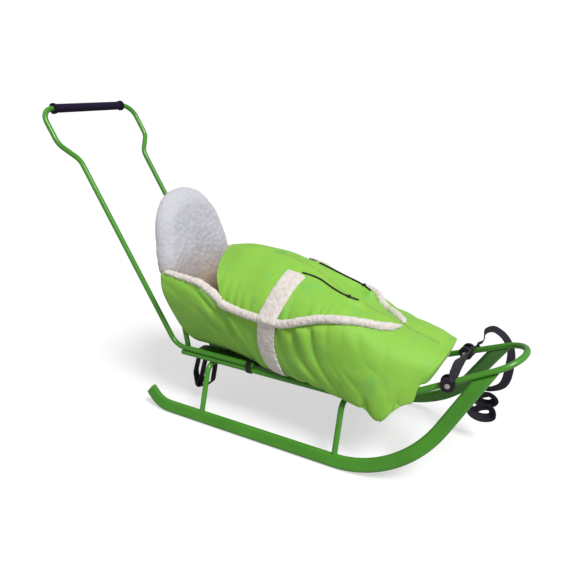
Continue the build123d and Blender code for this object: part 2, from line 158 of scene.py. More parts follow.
# Grooves beside the pointed corners
GROOVES = [
    # x, depth, width
    (126.0, 9.0, 9.0),
    (204.0, 8.0, 8.0),
]
TUB_ROWS, TUB_COLUMNS, TUB_MID_Z = 116, 145, 295.0
APRON_ROWS, APRON_COLUMNS = 100, 81
LINING, LINING_DEEP, LINING_END = 8.0, 9.0, -150.0

# Fleece trim
PIPING_R, RIM_R, RIM_REAR_R = 12.0, 15.0, 9.0
BELT_W, BELT_T, BELT_END_Y, BELT_LIFT = 58.0, 7.0, 60.0, 2.5
BELT_X = -154.0
# Sideways sway of a belt from its top end down
BELT_SWAY = [
    (0.0, 24.0),
    (0.3, 8.0),
    (0.52, -8.0),
    (0.72, -16.0),
    (0.9, -2.0),
    (1.0, 10.0),
]
BACK_X, BACK_T, BACK_CROWN, BACK_DROOP = -488.0, 54.0, 14.0, 11.0
# Half outline of the padded back, from the middle of its foot to the middle of its top
BACK_EDGE = [
    # run, y, z
    (0.0, 0.0, 303.0),
    (0.18, 90.0, 304.0),
    (0.26, 116.0, 326.0),
    (0.38, 140.0, 386.0),
    (0.5, 163.0, 448.0),
    (0.58, 159.0, 498.0),
    (0.66, 149.0, 545.0),
    (0.74, 134.0, 592.0),
    (0.82, 107.0, 630.0),
    (0.9, 74.0, 659.0),
    (0.95, 40.0, 672.0),
    (1.0, 0.0, 676.0),
]
BACK_LEAN, BACK_FOOT, BACK_MID_Z = tan(radians(9.0)), 185.0, 470.0
# Height below which painted shade darkens the back of the footmuff, and where it is darkest, in metres
PAINTED_SHADE_Z = (0.5, 0.37)

# Drawcord, as routed in the CAD
CORD_D, KNOT_R, CORD_LENGTH = 4.5, 1.8, 0.172
CORD_LINE = [
    (-119.0, 53.0, 480.5),
    (-76.0, 43.0, 472.5),
    (-32.0, 52.0, 452.5),
    (22.0, 57.0, 434.5),
    (47.0, 43.0, 425.5),
]

# Black webbing of the tow strap: x, y, z and how far its width turns from the sled's width
WEB_W, WEB_T = 25.0, 2.4
TOW_LINE = [
    (338.0, 110.0, 297.0, 0.0),
    (352.0, 110.0, 308.0, 0.0),
    (357.0, 110.0, 340.0, 20.0),
    (374.0, 110.0, 350.0, 20.0),
    (396.0, 110.0, 342.0, 20.0),
    (421.0, 110.0, 312.0, 30.0),
    (428.0, 110.0, 250.0, 62.0),
    (412.0, 110.0, 186.0, 62.0),
    (384.0, 110.0, 170.0, 54.0),
    (352.0, 112.0, 164.0, 52.0),
    (336.0, 114.0, 142.0, 46.0),
    (356.0, 116.0, 122.0, 42.0),
    (388.0, 118.0, 120.0, 46.0),
    (402.0, 116.0, 136.0, 52.0),
    (386.0, 110.0, 152.0, 60.0),
    (356.0, 106.0, 140.0, 56.0),
    (334.0, 104.0, 112.0, 44.0),
    (346.0, 104.0, 86.0, 40.0),
    (376.0, 106.0, 78.0, 48.0),
    (400.0, 108.0, 90.0, 56.0),
    (394.0, 110.0, 110.0, 62.0),
    (366.0, 110.0, 106.0, 66.0),
    (344.0, 108.0, 92.0, 62.0),
    (322.0, 108.0, 98.0, 56.0),
    (308.0, 108.0, 112.0, 50.0),
]
# Webbing that crosses the loop between the knobs, with a twist
CROSS_LINE = [
    (330.0, -112.0, 282.0, 62.0),
    (328.0, -104.0, 294.0, 62.0),
    (325.0, -72.0, 297.0, 58.0),
    (321.0, -28.0, 293.0, 44.0),
    (319.0, 16.0, 287.0, 14.0),
    (320.0, 56.0, 283.0, -14.0),
    (326.0, 90.0, 284.0, -18.0),
    (334.0, 108.0, 290.0, 0.0),
    (338.0, 113.0, 280.0, 0.0),
]


def at(x, y, z):
    """Place in the scene of a point in the footmuff's millimetres."""
    return Vector((SEAT_X + x * MM, y * MM, z * MM))


def through(table):
    """Smooth function of the first column that passes through every row of a table."""
    table = np.array(table, float)
    xs, ys = table[:, 0], table[:, 1:]
    slopes = np.gradient(ys, xs, axis=0)

    def value(x):
        x = min(max(x, xs[0]), xs[-1])
        i = min(int(np.searchsorted(xs, x, "right")) - 1, len(xs) - 2)
        run = xs[i + 1] - xs[i]
        t = (x - xs[i]) / run
        rise = t * t * (3 - 2 * t)
        leave, arrive = t * (1 - t) ** 2, t * t * (t - 1)
        return ys[i] * (1 - rise) + ys[i + 1] * rise + run * (leave * slopes[i] + arrive * slopes[i + 1])

    return value


body_at = through(SECTIONS)
edge_at = through(EDGE)
rear_at = through(REAR_LINE)
seam_near = through(SEAM_NEAR)
seam_far = through(SEAM_FAR)
sway_at = through(BELT_SWAY)
back_edge = through(BACK_EDGE)
outlines = {}


def outline(x):
    """Nodes and tangents of the half outline at a station, from crest to underside."""
    if x not in outlines:
        crest, sy, sz, by, bz, ly, lz, uy, uz = body_at(x)
        points = np.array([(0, crest), (sy, sz), edge_at(x), (by, bz), (ly, lz), (uy, uz), (0, uz)])
        run = np.linalg.norm(np.diff(points, axis=0), axis=1)
        tangents = np.gradient(points, np.concatenate([[0], np.cumsum(run)]), axis=0)
        tangents[0], tangents[-1] = (1, 0), (-1, 0)
        outlines[x] = points, tangents, run
    return outlines[x]


def skin(x, s, out=0.0):
    """Point on the footmuff, in millimetres: s counts outline nodes from the crest down the right
    side (0 to 6) and up the left side (6 to 12), and out lifts the point off the surface."""
    s = s % TURN
    side, a = (-1, s) if s <= HALF_TURN else (1, TURN - s)
    points, tangents, run = outline(x)
    i = min(int(a), len(run) - 1)
    t = a - i
    rise = t * t * (3 - 2 * t)
    leave, arrive = t * (1 - t) ** 2, t * t * (t - 1)
    here = points[i] * (1 - rise) + points[i + 1] * rise
    here = here + run[i] * (leave * tangents[i] + arrive * tangents[i + 1])
    bend = 6 * t * (1 - t) * (points[i + 1] - points[i]) / run[i]
    bend = bend + (1 - t) * (1 - 3 * t) * tangents[i] + t * (3 * t - 2) * tangents[i + 1]
    length = np.hypot(*bend)
    y, z = here + out * np.array((-bend[1], bend[0])) / length
    if x < REAR_FROM:
        x = REAR_FROM + (x - REAR_FROM) * (rear_at(z)[0] - REAR_FROM) / (REAR_X - REAR_FROM)
    sag = np.interp(x, SAG_X, SAG) * np.interp(side * y, SAG_Y, SAG_SHARE)
    z -= sag * np.interp(z, (SAG_FOOT, SAG_HEAD), (0.0, 1.0))
    if x > NOSE_FROM:
        x += NOSE_LEAN * (z - NOSE_Z) * (x - NOSE_FROM) / (NOSE_X - NOSE_FROM)
    return Vector((x, side * y, z))


def spaced(x, start, stop, count):
    """Values of s from start to stop that lie evenly along the outline at a station."""
    trial = np.linspace(start, stop, 8 * (HALF_TURN + 1))
    points = np.array([skin(x, s) for s in trial])
    run = np.concatenate([[0], np.cumsum(np.linalg.norm(np.diff(points, axis=0), axis=1))])
    return np.interp(np.linspace(0, run[-1], count), run, trial)


def seam_s(x, left=False):
    """Node value, from the crest, of the seam between apron and tub at a station."""
    return max(float((seam_far if left else seam_near)(x)[0]), 0.0)


def mirrored(s, left):
    """The same node value on the left side, where that is asked for."""
    return TURN - s if left else s


def wave(x, y, z, size):
    """Smooth noise of one size, between -1 and 1."""
    return noise.noise(Vector((x, y, z)) / size)


def grid_object(name, rows, materials, round_rows=False, weights=None):
    """Mesh object over rows of points in scene metres, with an optional weight for each point."""
    across = len(rows[0])
    points = [point for row in rows for point in row]
    faces = []
    for i in range(len(rows) - 1):
        for j in range(across if round_rows else across - 1):
            k = (j + 1) % across
            faces.append((i * across + j, i * across + k, (i + 1) * across + k, (i + 1) * across + j))
    mesh = bpy.data.meshes.new(name)
    mesh.from_pydata(points, [], faces)
    mesh.update()
    piece = mesh_object(name, mesh, materials)
    if weights:
        pins = piece.vertex_groups.new(name="pins")
        for index, weight in enumerate(weight for row in weights for weight in row):
            pins.add([index], weight, "REPLACE")
    return piece


def mesh_object(name, mesh, materials):
    """Object that rides on the sled, smooth and with its materials."""
    for material in materials:
        mesh.materials.append(material)
    mesh.shade_smooth()
    piece = bpy.data.objects.new(name, mesh)
    bpy.context.scene.collection.objects.link(piece)
    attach(piece, "root")
    return piece


def apply_modifiers(piece):
    """Bakes a piece's modifiers into its mesh."""
    depsgraph = bpy.context.evaluated_depsgraph_get()
    baked = bpy.data.meshes.new_from_object(piece.evaluated_get(depsgraph))
    piece.modifiers.clear()
    old = piece.data
    piece.data = baked
    bpy.data.meshes.remove(old)


def weld(piece, gap=0.0004):
    """Joins points that lie on each other."""
    work = bmesh.new()
    work.from_mesh(piece.data)
    bmesh.ops.remove_doubles(work, verts=work.verts, dist=gap)
    bmesh.ops.recalc_face_normals(work, faces=work.faces)
    work.to_mesh(piece.data)
    work.free()


def subdivide(piece):
    """One level of subdivision surface."""
    piece.modifiers.new("smooth", "SUBSURF").levels = 1
    apply_modifiers(piece)


def curl(piece, depth, size):
    """Tufts of fleece: moves each point along its normal by noise."""
    normals = [vertex.normal.copy() for vertex in piece.data.vertices]
    for vertex, normal in zip(piece.data.vertices, normals):
        p = vertex.co
        tuft = noise.noise(p / size) + 0.6 * noise.noise(p / (size * 2.7))
        vertex.co = p + normal * depth * tuft
    piece.data.update()


def billow(piece, slack, pressure, cap, frames=20):
    """Lets a skin that is cut too large buckle between its pinned seams. Slack is the direction, in
    millimetres per metre, along which the cloth is longer than the space it has."""
    start = [vertex.co.copy() for vertex in piece.data.vertices]
    along = Vector(slack) / Vector(slack).length
    piece.shape_key_add(name="sewn")
    loose = piece.shape_key_add(name="loose")
    for index, p in enumerate(start):
        loose.data[index].co = p + Vector(slack) * MM * along.dot(p)
    cloth = piece.modifiers.new("cloth", "CLOTH")
    cloth.settings.quality = 6
    cloth.settings.mass = 0.25
    cloth.settings.tension_stiffness = 12.0
    cloth.settings.compression_stiffness = 12.0
    cloth.settings.shear_stiffness = 4.0
    cloth.settings.bending_stiffness = 1.2
    cloth.settings.tension_damping = 15.0
    cloth.settings.vertex_group_mass = "pins"
    cloth.settings.rest_shape_key = loose
    cloth.settings.use_pressure = True
    cloth.settings.uniform_pressure_force = pressure
    cloth.settings.effector_weights.gravity = 0.0
    cloth.collision_settings.use_collision = False
    cloth.point_cache.frame_start, cloth.point_cache.frame_end = 1, frames
    for step in range(1, frames + 1):
        bpy.context.scene.frame_set(step)
    apply_modifiers(piece)
    bpy.context.scene.frame_set(1)
    for vertex, p in zip(piece.data.vertices, start):
        moved = vertex.co - p
        if moved.length > cap * MM:
            vertex.co = p + moved * (cap * MM / moved.length)
    piece.data.update()


# Materials

def shader(name, colour, roughness, **sockets):
    """New material with a Principled shader; returns it with its nodes and links."""
    material = bpy.data.materials.new(name)
    material.use_nodes = True
    tree = material.node_tree
    bsdf = tree.nodes["Principled BSDF"]
    bsdf.inputs["Base Color"].default_value = (*colour, 1)
    bsdf.inputs["Roughness"].default_value = roughness
    for socket, value in sockets.items():
        bsdf.inputs[socket.replace("_", " ")].default_value = value
    return material, tree, bsdf


def add(tree, kind, links=(), **values):
    """Node with its settings, and its inputs linked or set by name."""
    node = tree.nodes.new(kind)
    for key, value in values.items():
        if key in node.inputs.keys():
            node.inputs[key].default_value = value
        else:
            setattr(node, key, value)
    for socket, source in dict(links).items():
        tree.links.new(source, node.inputs[socket])
    return node


def where(tree):
    """Object coordinates, which are metres in the sled's frame."""
    return add(tree, "ShaderNodeTexCoord").outputs["Object"]


def ramp(tree, value, colours, low=0.3, high=0.7):
    """Colour that goes from one shade to another as a value goes from low to high."""
    node = add(tree, "ShaderNodeValToRGB", {"Fac": value})
    node.color_ramp.elements[0].position, node.color_ramp.elements[1].position = low, high
    for element, colour in zip(node.color_ramp.elements, colours):
        element.color = (*colour, 1)
    return node.outputs["Color"]


def map_range(tree, value, taken=(0.0, 1.0), given=(0.0, 1.0)):
    """Value moved from one range to another."""
    node = add(tree, "ShaderNodeMapRange", {"Value": value})
    node.inputs["From Min"].default_value, node.inputs["From Max"].default_value = taken
    node.inputs["To Min"].default_value, node.inputs["To Max"].default_value = given
    return node.outputs["Result"]


def mix_colour(tree, share, colour, other):
    """Colour that goes over to another as its share grows; sockets 6, 7 and 2 are the colour ones."""
    node = add(tree, "ShaderNodeMix", {"Factor": share, 6: colour}, data_type="RGBA")
    node.inputs[7].default_value = (*other, 1)
    return node.outputs[2]


def mottle(tree, bsdf, scale, colours, detail=3.0):
    """Colour that wanders between two shades."""
    tree.links.new(ramp(tree, noise_height(tree, scale, detail), colours), bsdf.inputs["Base Color"])


def vary_roughness(tree, bsdf, scale, low, high):
    """Roughness that wanders between two values."""
    roughness = map_range(tree, noise_height(tree, scale, 4.0), given=(low, high))
    tree.links.new(roughness, bsdf.inputs["Roughness"])


def bump(tree, bsdf, heights):
    """Stacks bump maps given as (height socket, strength, distance)."""
    normal = None
    for height, strength, distance in heights:
        links = {"Height": height} if normal is None else {"Height": height, "Normal": normal}
        node = add(tree, "ShaderNodeBump", links, Strength=strength, Distance=distance)
        normal = node.outputs["Normal"]
    tree.links.new(normal, bsdf.inputs["Normal"])


def noise_height(tree, scale, detail=2.0):
    """Noise of one scale, as a height."""
    return add(tree, "ShaderNodeTexNoise", {"Vector": where(tree)}, Scale=scale, Detail=detail).outputs["Fac"]


def weave_height(tree, scale):
    """Threads that cross each other, from two wave textures."""
    heights = []
    for direction in ("X", "Z"):
        place = {"Vector": where(tree)}
        bands = add(tree, "ShaderNodeTexWave", place, bands_direction=direction, Scale=scale, Distortion=0.6)
        heights.append(bands.outputs["Fac"])
    return add(tree, "ShaderNodeMath", {0: heights[0], 1: heights[1]}, operation="MULTIPLY").outputs["Value"]


def make_paint(name, light, dark, roughness):
    """Enamel with a thin clear coat and a slight orange peel."""
    finish = {"Coat_Weight": 0.2, "Coat_Roughness": 0.14, "Specular_IOR_Level": 0.4}
    material, tree, bsdf = shader(name, light, roughness, **finish)
    mottle(tree, bsdf, 9.0, (dark, light))
    vary_roughness(tree, bsdf, 60.0, roughness - 0.07, roughness + 0.1)
    bump(tree, bsdf, [(noise_height(tree, 260.0), 0.08, 0.0004), (noise_height(tree, 30.0), 0.04, 0.001)])
    return material


def make_nylon(name, light, dark, painted_shade_tint):
    """Satin nylon: two greens that wander, with cooler streaks of painted shade, a fine weave and small
    creases.
    """
    finish = {"Sheen_Weight": 0.1, "Sheen_Roughness": 0.4, "Specular_IOR_Level": 0.3}
    material, tree, bsdf = shader(name, light, 0.6, **finish)
    base = ramp(tree, noise_height(tree, 8.0, 4.0), (dark, light))
    # Cooler streaks placed by noise are painted shade: the bluish green of shaded folds
    painted_shade_streak = map_range(tree, noise_height(tree, 17.0, 3.0), (0.56, 0.74))
    tree.links.new(mix_colour(tree, painted_shade_streak, base, painted_shade_tint), bsdf.inputs["Base Color"])
    vary_roughness(tree, bsdf, 40.0, 0.52, 0.72)
    place = {"Vector": where(tree)}
    creases = add(tree, "ShaderNodeTexVoronoi", place, feature="DISTANCE_TO_EDGE", Scale=26.0)
    heights = [
        (weave_height(tree, 330.0), 0.12, 0.0003),
        (noise_height(tree, 42.0, 4.0), 0.3, 0.004),
        (creases.outputs["Distance"], 0.12, 0.004),
    ]
    bump(tree, bsdf, heights)
    return material


def make_fleece(name, light, dark, shade=None):
    """Curly fleece; where a shade colour is given, painted shade darkens it towards the bottom of the
    footmuff.
    """
    material, tree, bsdf = shader(name, light, 0.95, Sheen_Weight=0.3, Sheen_Roughness=0.6)
    colour = ramp(tree, noise_height(tree, 75.0, 4.0), (dark, light), 0.25, 0.6)
    if shade:
        # Painted shade: the colour goes over to the shade colour towards the bottom
        height = add(tree, "ShaderNodeSeparateXYZ", {"Vector": where(tree)}).outputs["Z"]
        colour = mix_colour(tree, map_range(tree, height, PAINTED_SHADE_Z), colour, shade)
    tree.links.new(colour, bsdf.inputs["Base Color"])
    cells = add(tree, "ShaderNodeTexVoronoi", {"Vector": where(tree)}, Scale=150.0).outputs["Distance"]
    bump(tree, bsdf, [(cells, 0.3, 0.003), (noise_height(tree, 420.0, 5.0), 0.35, 0.0015)])
    return material


def make_webbing(name, light, dark):
    """Woven tape or cord."""
    finish = {"Sheen_Weight": 0.08, "Sheen_Roughness": 0.5, "Specular_IOR_Level": 0.3}
    material, tree, bsdf = shader(name, light, 0.75, **finish)
    mottle(tree, bsdf, 90.0, (dark, light))
    bump(tree, bsdf, [(weave_height(tree, 110.0), 0.6, 0.0008), (noise_height(tree, 700.0), 0.3, 0.0004)])
    return material


def make_plastic(name, light, dark, roughness):
    """Moulded plastic."""
    material, tree, bsdf = shader(name, light, roughness, Specular_IOR_Level=0.35)
    mottle(tree, bsdf, 50.0, (dark, light))
    vary_roughness(tree, bsdf, 150.0, roughness - 0.08, roughness + 0.12)
    bump(tree, bsdf, [(noise_height(tree, 900.0), 0.1, 0.0003)])
    return material


def make_foam(name, light, dark):
    """Dull foam with fine cells."""
    material, tree, bsdf = shader(name, light, 0.85, Specular_IOR_Level=0.18)
    mottle(tree, bsdf, 70.0, (dark, light))
    cells = add(tree, "ShaderNodeTexVoronoi", {"Vector": where(tree)}, Scale=700.0).outputs["Distance"]
    bump(tree, bsdf, [(cells, 0.35, 0.0006), (noise_height(tree, 90.0), 0.2, 0.001)])
    return material


def make_steel(name, light, dark):
    """Bright steel."""
    material, tree, bsdf = shader(name, light, 0.3, Metallic=1.0)
    mottle(tree, bsdf, 200.0, (dark, light))
    vary_roughness(tree, bsdf, 300.0, 0.22, 0.4)
    bump(tree, bsdf, [(noise_height(tree, 1200.0), 0.15, 0.0002)])
    return material


FINISHES = {
    "green_paint": make_paint("green_paint", (0.063, 0.272, 0.018), (0.05, 0.225, 0.015), 0.3),
    "slat_paint": make_paint("slat_paint", (0.06, 0.16, 0.03), (0.045, 0.125, 0.025), 0.5),
    "grip_foam": make_foam("grip_foam", (0.012, 0.006, 0.03), (0.008, 0.004, 0.02)),
    "black_plastic": make_plastic("black_plastic", (0.014, 0.007, 0.018), (0.008, 0.004, 0.011), 0.42),
    "steel": make_steel("steel", (0.66, 0.65, 0.64), (0.5, 0.5, 0.5)),
    "webbing": make_webbing("webbing", (0.014, 0.007, 0.02), (0.007, 0.004, 0.011)),
    # The nylon's third, cooler green is a painted shade tint for its streaks
    "nylon": make_nylon("nylon", (0.255, 0.52, 0.06), (0.205, 0.47, 0.05), (0.175, 0.47, 0.085)),
    "fleece": make_fleece("fleece", (0.67, 0.615, 0.58), (0.56, 0.5, 0.45)),
    "cord_black": make_webbing("cord_black", (0.014, 0.009, 0.016), (0.008, 0.006, 0.009)),
}
for part in frame["record"]["subparts"]:
    node = nodes[part["node"]]
    node.data.materials.clear()
    node.data.materials.append(FINISHES[part["material_slot"]])
NYLON, FLEECE, CORD = FINISHES["nylon"], FINISHES["fleece"], FINISHES["cord_black"]
# Fleece of the back and lining; its brown shade colour is painted shade that darkens it towards the bottom of
# the footmuff
SOFT_FLEECE = make_fleece("fleece_back", (0.5, 0.5, 0.56), (0.45, 0.445, 0.485), (0.33, 0.23, 0.14))
THREAD = make_webbing("thread", (0.34, 0.3, 0.13), (0.25, 0.2, 0.08))


# Drawcords

def make_cord(side, left):
    """Drawcord with its knot; gives the points along it."""
    curve = bpy.data.curves.new(f"drawcord_{side}_line", "CURVE")
    curve.dimensions = "3D"
    spline = curve.splines.new("NURBS")
    spline.points.add(len(CORD_LINE) - 1)
    for point, (x, y, z) in zip(spline.points, CORD_LINE):
        point.co = (*at(x, y if left else -y, z), 1)
    spline.order_u = 3
    spline.use_endpoint_u = True
    spline.resolution_u = 24
    curve.materials.append(CORD)
    piece = bpy.data.objects.new(f"drawcord_{side}_soft", curve)
    bpy.context.scene.collection.objects.link(piece)
    route = bpy.data.meshes.new_from_object(piece)
    line = [vertex.co.copy() for vertex in route.vertices]
    bpy.data.meshes.remove(route)
    curve.bevel_depth = CORD_D / 2 * MM
    curve.bevel_resolution = 4
    curve.use_fill_caps = True
    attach(piece, "root")
    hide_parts(f"drawcord_{side}")
    make_knot(side, line)
    return line


def make_knot(side, line):
    """Overhand knot near the cord's tip."""
    low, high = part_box(f"cord_knot_{side}")
    middle = (Vector(low) + Vector(high)) / 2
    middle = min(line, key=lambda p: (p - middle).length)
    rows, around, turn_count = [], 10, 60
    loop = []
    for t in np.linspace(0, 2 * pi, turn_count, endpoint=False):
        bend = Vector((sin(t) + 2 * sin(2 * t), cos(t) - 2 * cos(2 * t), -1.3 * sin(3 * t)))
        loop.append(bend * KNOT_R * MM)
    for i in range(turn_count + 1):
        here, after = loop[i % turn_count], loop[(i + 1) % turn_count]
        along = (after - here).normalized()
        across = along.cross(Vector((0.3, 0.2, 1))).normalized()
        up = across.cross(along)
        turn = np.linspace(0, 2 * pi, around, endpoint=False)
        rows.append([middle + here + CORD_D / 2 * 0.85 * MM * (cos(a) * across + sin(a) * up) for a in turn])
    piece = grid_object(f"cord_knot_{side}_soft", rows, [CORD], round_rows=True)
    weld(piece, 0.00002)
    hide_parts(f"cord_knot_{side}")
    return piece


cord_points = np.array(make_cord("right", False) + make_cord("left", True))


# Footmuff

def ridge(t):
    """Rounded crests with sharp valleys, between -1 and 1, once for each whole t."""
    return 1 - 2 * (1 - abs(sin(pi * t))) ** 1.5


def rumple(x, s):
    """Folds sewn into the tub's nylon, as millimetres off its smooth surface."""
    y, z = skin(x, s)[1:]
    side = 30.0 if y > 0 else 0.0
    down = max(edge_at(x)[1] - z, 0.0)
    drift = 34.0 * wave(x, y, z, 110.0)
    slant = x + side + 0.55 * (z - 300.0) + drift
    size = 0.75 + 0.9 * wave(x, y, z + 900.0, 80.0)
    fold = 0.0
    for depth, middle, reach, pitch, lean in FOLDS:
        fold += depth * size * exp(-((x - middle) / reach) ** 2) * ridge((slant + lean * z) / pitch)
    fold *= min(down / 14.0, 1.0) * exp(-down / 190.0)
    flap = x - FLAP_X - FLAP_LEAN * (FLAP_Z - z)
    if SEAM < s < LOW and abs(flap) < FLAP_REACH:
        fold += 6.0 * min(max(flap / 6.0, -0.4), 1.0) * exp(-(flap / 45.0) ** 2) * min(down / 30.0, 1.0)
        fold -= 9.0 * exp(-((flap + 13.0) / 9.0) ** 2) * min(down / 90.0, 1.0)
    near_low = exp(-((z - body_at(x)[6]) / 34.0) ** 2)
    for groove_x, depth, width in GROOVES:
        fold -= depth * near_low * exp(-((x - groove_x) / width) ** 2)
    fold += 2.5 * wave(x, y, z, 95.0)
    return max(fold, -6.0) if x < -150.0 else fold


def ear(x, s):
    """Drop of the pointed corners under the toes, and of the right corner of the nose."""
    beside = abs(min(s, TURN - s) - LOW)
    off = abs(x - EAR_X)
    drop = (EAR_DROP * exp(-off / 18.0) - EAR_PINCH * exp(-(off / 45.0) ** 2)) * exp(-beside / 0.3)
    if s < HALF_TURN:
        drop += CORNER_DROP * exp(-((x - CORNER_X) / 17.0) ** 2) * exp(-beside / 0.5)
    return drop


def make_tub():
    """Outer nylon of the tub, closed at the nose and behind the seat."""
    arc = np.linspace(0, pi / 2, 7)[1:]
    stations = [(x, 0.0, 1.0) for x in np.linspace(REAR_X, NOSE_X, TUB_ROWS)]
    rear_end = [(REAR_X, -CAP * sin(t), cos(t)) for t in arc]
    nose_end = [(NOSE_X, CAP * sin(t), cos(t)) for t in arc]
    rows, weights = [], []
    for station, beyond, shrink in rear_end[::-1] + stations + nose_end:
        middle = TUB_MID_Z if station > 0 else edge_at(station)[1] - REAR_DIP
        apex = station + beyond - (0.0 if station > 0 else REAR_DEEP)
        keep = 0.8 + 0.2 * shrink if shrink > 0.05 else 0.0
        row, row_pins = [], []
        for s in spaced(station, seam_s(station), TURN - seam_s(station, True), TUB_COLUMNS):
            point = skin(station, s, rumple(station, s) * shrink)
            point.z -= ear(station, s)
            reach = point.x + beyond if keep else apex
            row.append(at(reach, point.y * keep, middle + (point.z - middle) * keep))
            under = LOW - 0.25 < s < TURN - LOW + 0.25
            belted = abs(station - BELT_X) < 44.0
            row_pins.append(1.0 if beyond or under or belted or station > 250.0 else 0.0)
        row_pins[0] = row_pins[1] = row_pins[-1] = row_pins[-2] = 1.0
        rows.append(row)
        weights.append(row_pins)
    return grid_object("bag_tub_soft", rows, [NYLON], weights=weights)


def make_apron():
    """Padded apron over the legs, from its free rear edge to its pointed tip."""
    rows, weights = [], []
    for w in np.linspace(0, 1, APRON_ROWS):
        row, row_pins = [], []
        for f in np.linspace(-1, 1, APRON_COLUMNS):
            rear = REAR_CREST_X + (APRON_X - REAR_CREST_X) * abs(f) ** 2.4
            x = rear + (TIP_X - rear) * w
            reach = seam_s(x, f < 0)
            steps = spaced(x, 0, reach, 13) if reach else np.zeros(13)
            s = np.interp(abs(f), np.linspace(0, 1, 13), steps)
            y, z = skin(x, s)[1:]
            edge = 1 - abs(f)
            gather = 4.0 * ridge(x / 31.0 + wave(x, 0, 0, 70.0)) * min(edge / 0.08, 1.0) * exp(-edge / 0.16)
            puff = 3.5 * (1 - f ** 6) + 5.0 * wave(x, f * 90.0, z, 80.0) + gather
            row.append(at(*skin(x, s if f > 0 else -s, puff * min(reach, 1.0))))
            belted = abs(x - BELT_X) < 46.0 and abs(y) > BELT_END_Y - 6.0
            row_pins.append(1.0 if edge < 0.03 or w < 0.015 or w > 0.97 or belted else 0.0)
        rows.append(row)
        weights.append(row_pins)
    return grid_object("bag_apron_soft", rows, [NYLON, SOFT_FLEECE], weights=weights)


def press_under_cords(piece):
    """Brings the apron to just under the drawcords that lie on it."""
    clear, reach = (CORD_D / 2 + 0.4) * MM, 0.022
    for vertex in piece.data.vertices:
        away = np.hypot(cord_points[:, 0] - vertex.co.x, cord_points[:, 1] - vertex.co.y)
        nearest = int(np.argmin(away))
        if away[nearest] < reach:
            rise = 0.5 * max(away[nearest] - CORD_D * MM, 0.0)
            top = cord_points[nearest, 2] - clear + rise
            lift = (top - vertex.co.z) * min(1.4 * (1 - away[nearest] / reach), 1.0)
            vertex.co.z = min(vertex.co.z + max(lift, 0.0), top)
    piece.data.update()


def back_cloth(piece, thickness, inner):
    """Gives a nylon skin its thickness, with another material inside and along the rim."""
    modifier = piece.modifiers.new("lining", "SOLIDIFY")
    modifier.thickness = thickness * MM
    modifier.offset = -1.0
    modifier.material_offset = inner
    modifier.material_offset_rim = inner
    apply_modifiers(piece)


tub = make_tub()
weld(tub)
billow(tub, slack=(60.0, 0.0, 33.0), pressure=1.5, cap=7.0)
subdivide(tub)
back_cloth(tub, 1.5, 0)
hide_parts("bag_tub")

apron = make_apron()
weld(apron)
billow(apron, slack=(55.0, 0.0, 0.0), pressure=2.0, cap=8.0)
subdivide(apron)
press_under_cords(apron)
back_cloth(apron, LINING, 1)
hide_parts("bag_apron")


def make_lining():
    """Fleece lining inside the tub, as far as the mouth shows it."""
    rows = []
    for x in np.linspace(REAR_X + 4, LINING_END, 60):
        row = []
        for s in spaced(x, SEAM, TURN - SEAM, 97):
            deep = min(abs(skin(x, SEAM).z - skin(x, s).z) / 12.0, 1.0)
            row.append(at(*skin(x, s, -LINING - LINING_DEEP * deep)))
        rows.append(row)
    piece = grid_object("bag_lining_soft", rows, [SOFT_FLEECE])
    curl(piece, 0.0016, 0.011)


make_lining()


# Fleece trim

def fleece_roll(name, path, radii, node):
    """Round roll of fleece along points in the footmuff's millimetres, from one radius to another."""
    around, rows = 14, []
    for i, here in enumerate(path):
        along = (path[min(i + 1, len(path) - 1)] - path[max(i - 1, 0)]).normalized()
        across = along.cross(Vector((0, 0, 1))).normalized()
        up = across.cross(along)
        end = min(i, len(path) - 1 - i) / 4.0
        size = float(np.interp(i, (0, len(path) - 1), radii)) * min(1.0, end) ** 0.5
        turn = np.linspace(0, 2 * pi, around, endpoint=False)
        rows.append([at(*(here + size * (cos(t) * across + sin(t) * up))) for t in turn])
    piece = grid_object(name, rows, [FLEECE], round_rows=True)
    subdivide(piece)
    curl(piece, 0.002, 0.008)
    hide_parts(node)


for side, left in (("right", False), ("left", True)):
    seam = []
    for x in np.linspace(MOUTH_X - 8, TIP_X - 5, 150):
        seam.append(skin(x, mirrored(seam_s(x, left), left), PIPING_R * 0.45))
    fleece_roll(f"bag_piping_{side}_soft", seam, (PIPING_R, PIPING_R), f"bag_piping_{side}")
    rim = []
    for x in np.linspace(REAR_X, MOUTH_X + 8, 60):
        rim.append(skin(x, mirrored(SEAM, left), -LINING / 2) + Vector((0, 0, 3)))
    fleece_roll(f"bag_rim_{side}_soft", rim, (RIM_REAR_R, RIM_R), f"bag_rim_{side}")


def make_belt(side, left):
    """Fleece belt that comes up the side onto the apron."""
    count, across = 90, 17
    top = next(s for s in np.linspace(0, SEAM, 200) if abs(skin(BELT_X, s).y) >= BELT_END_Y)
    rows = []
    for i, s in enumerate(spaced(BELT_X, top, LOW - 0.05, count)):
        centre = BELT_X + sway_at(i / (count - 1))[0]
        over_piping = PIPING_R * exp(-((s - seam_s(centre, left)) / 0.12) ** 2)
        end = min(1.0, 0.45 + i / 4, 0.45 + (count - 1 - i) / 4)
        row = []
        for layer, order in ((1, 1), (0, -1)):
            for k in np.linspace(-1, 1, across)[::order]:
                lift = BELT_LIFT + over_piping + layer * BELT_T * (1 - 0.4 * k ** 6) * end
                row.append(at(*skin(centre + k * BELT_W / 2, mirrored(s, left), lift)))
        rows.append(row)
    piece = grid_object(f"bag_belt_{side}_soft", rows, [FLEECE], round_rows=True)
    subdivide(piece)
    curl(piece, 0.0014, 0.009)
    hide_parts(f"bag_belt_{side}")


make_belt("right", False)
make_belt("left", True)


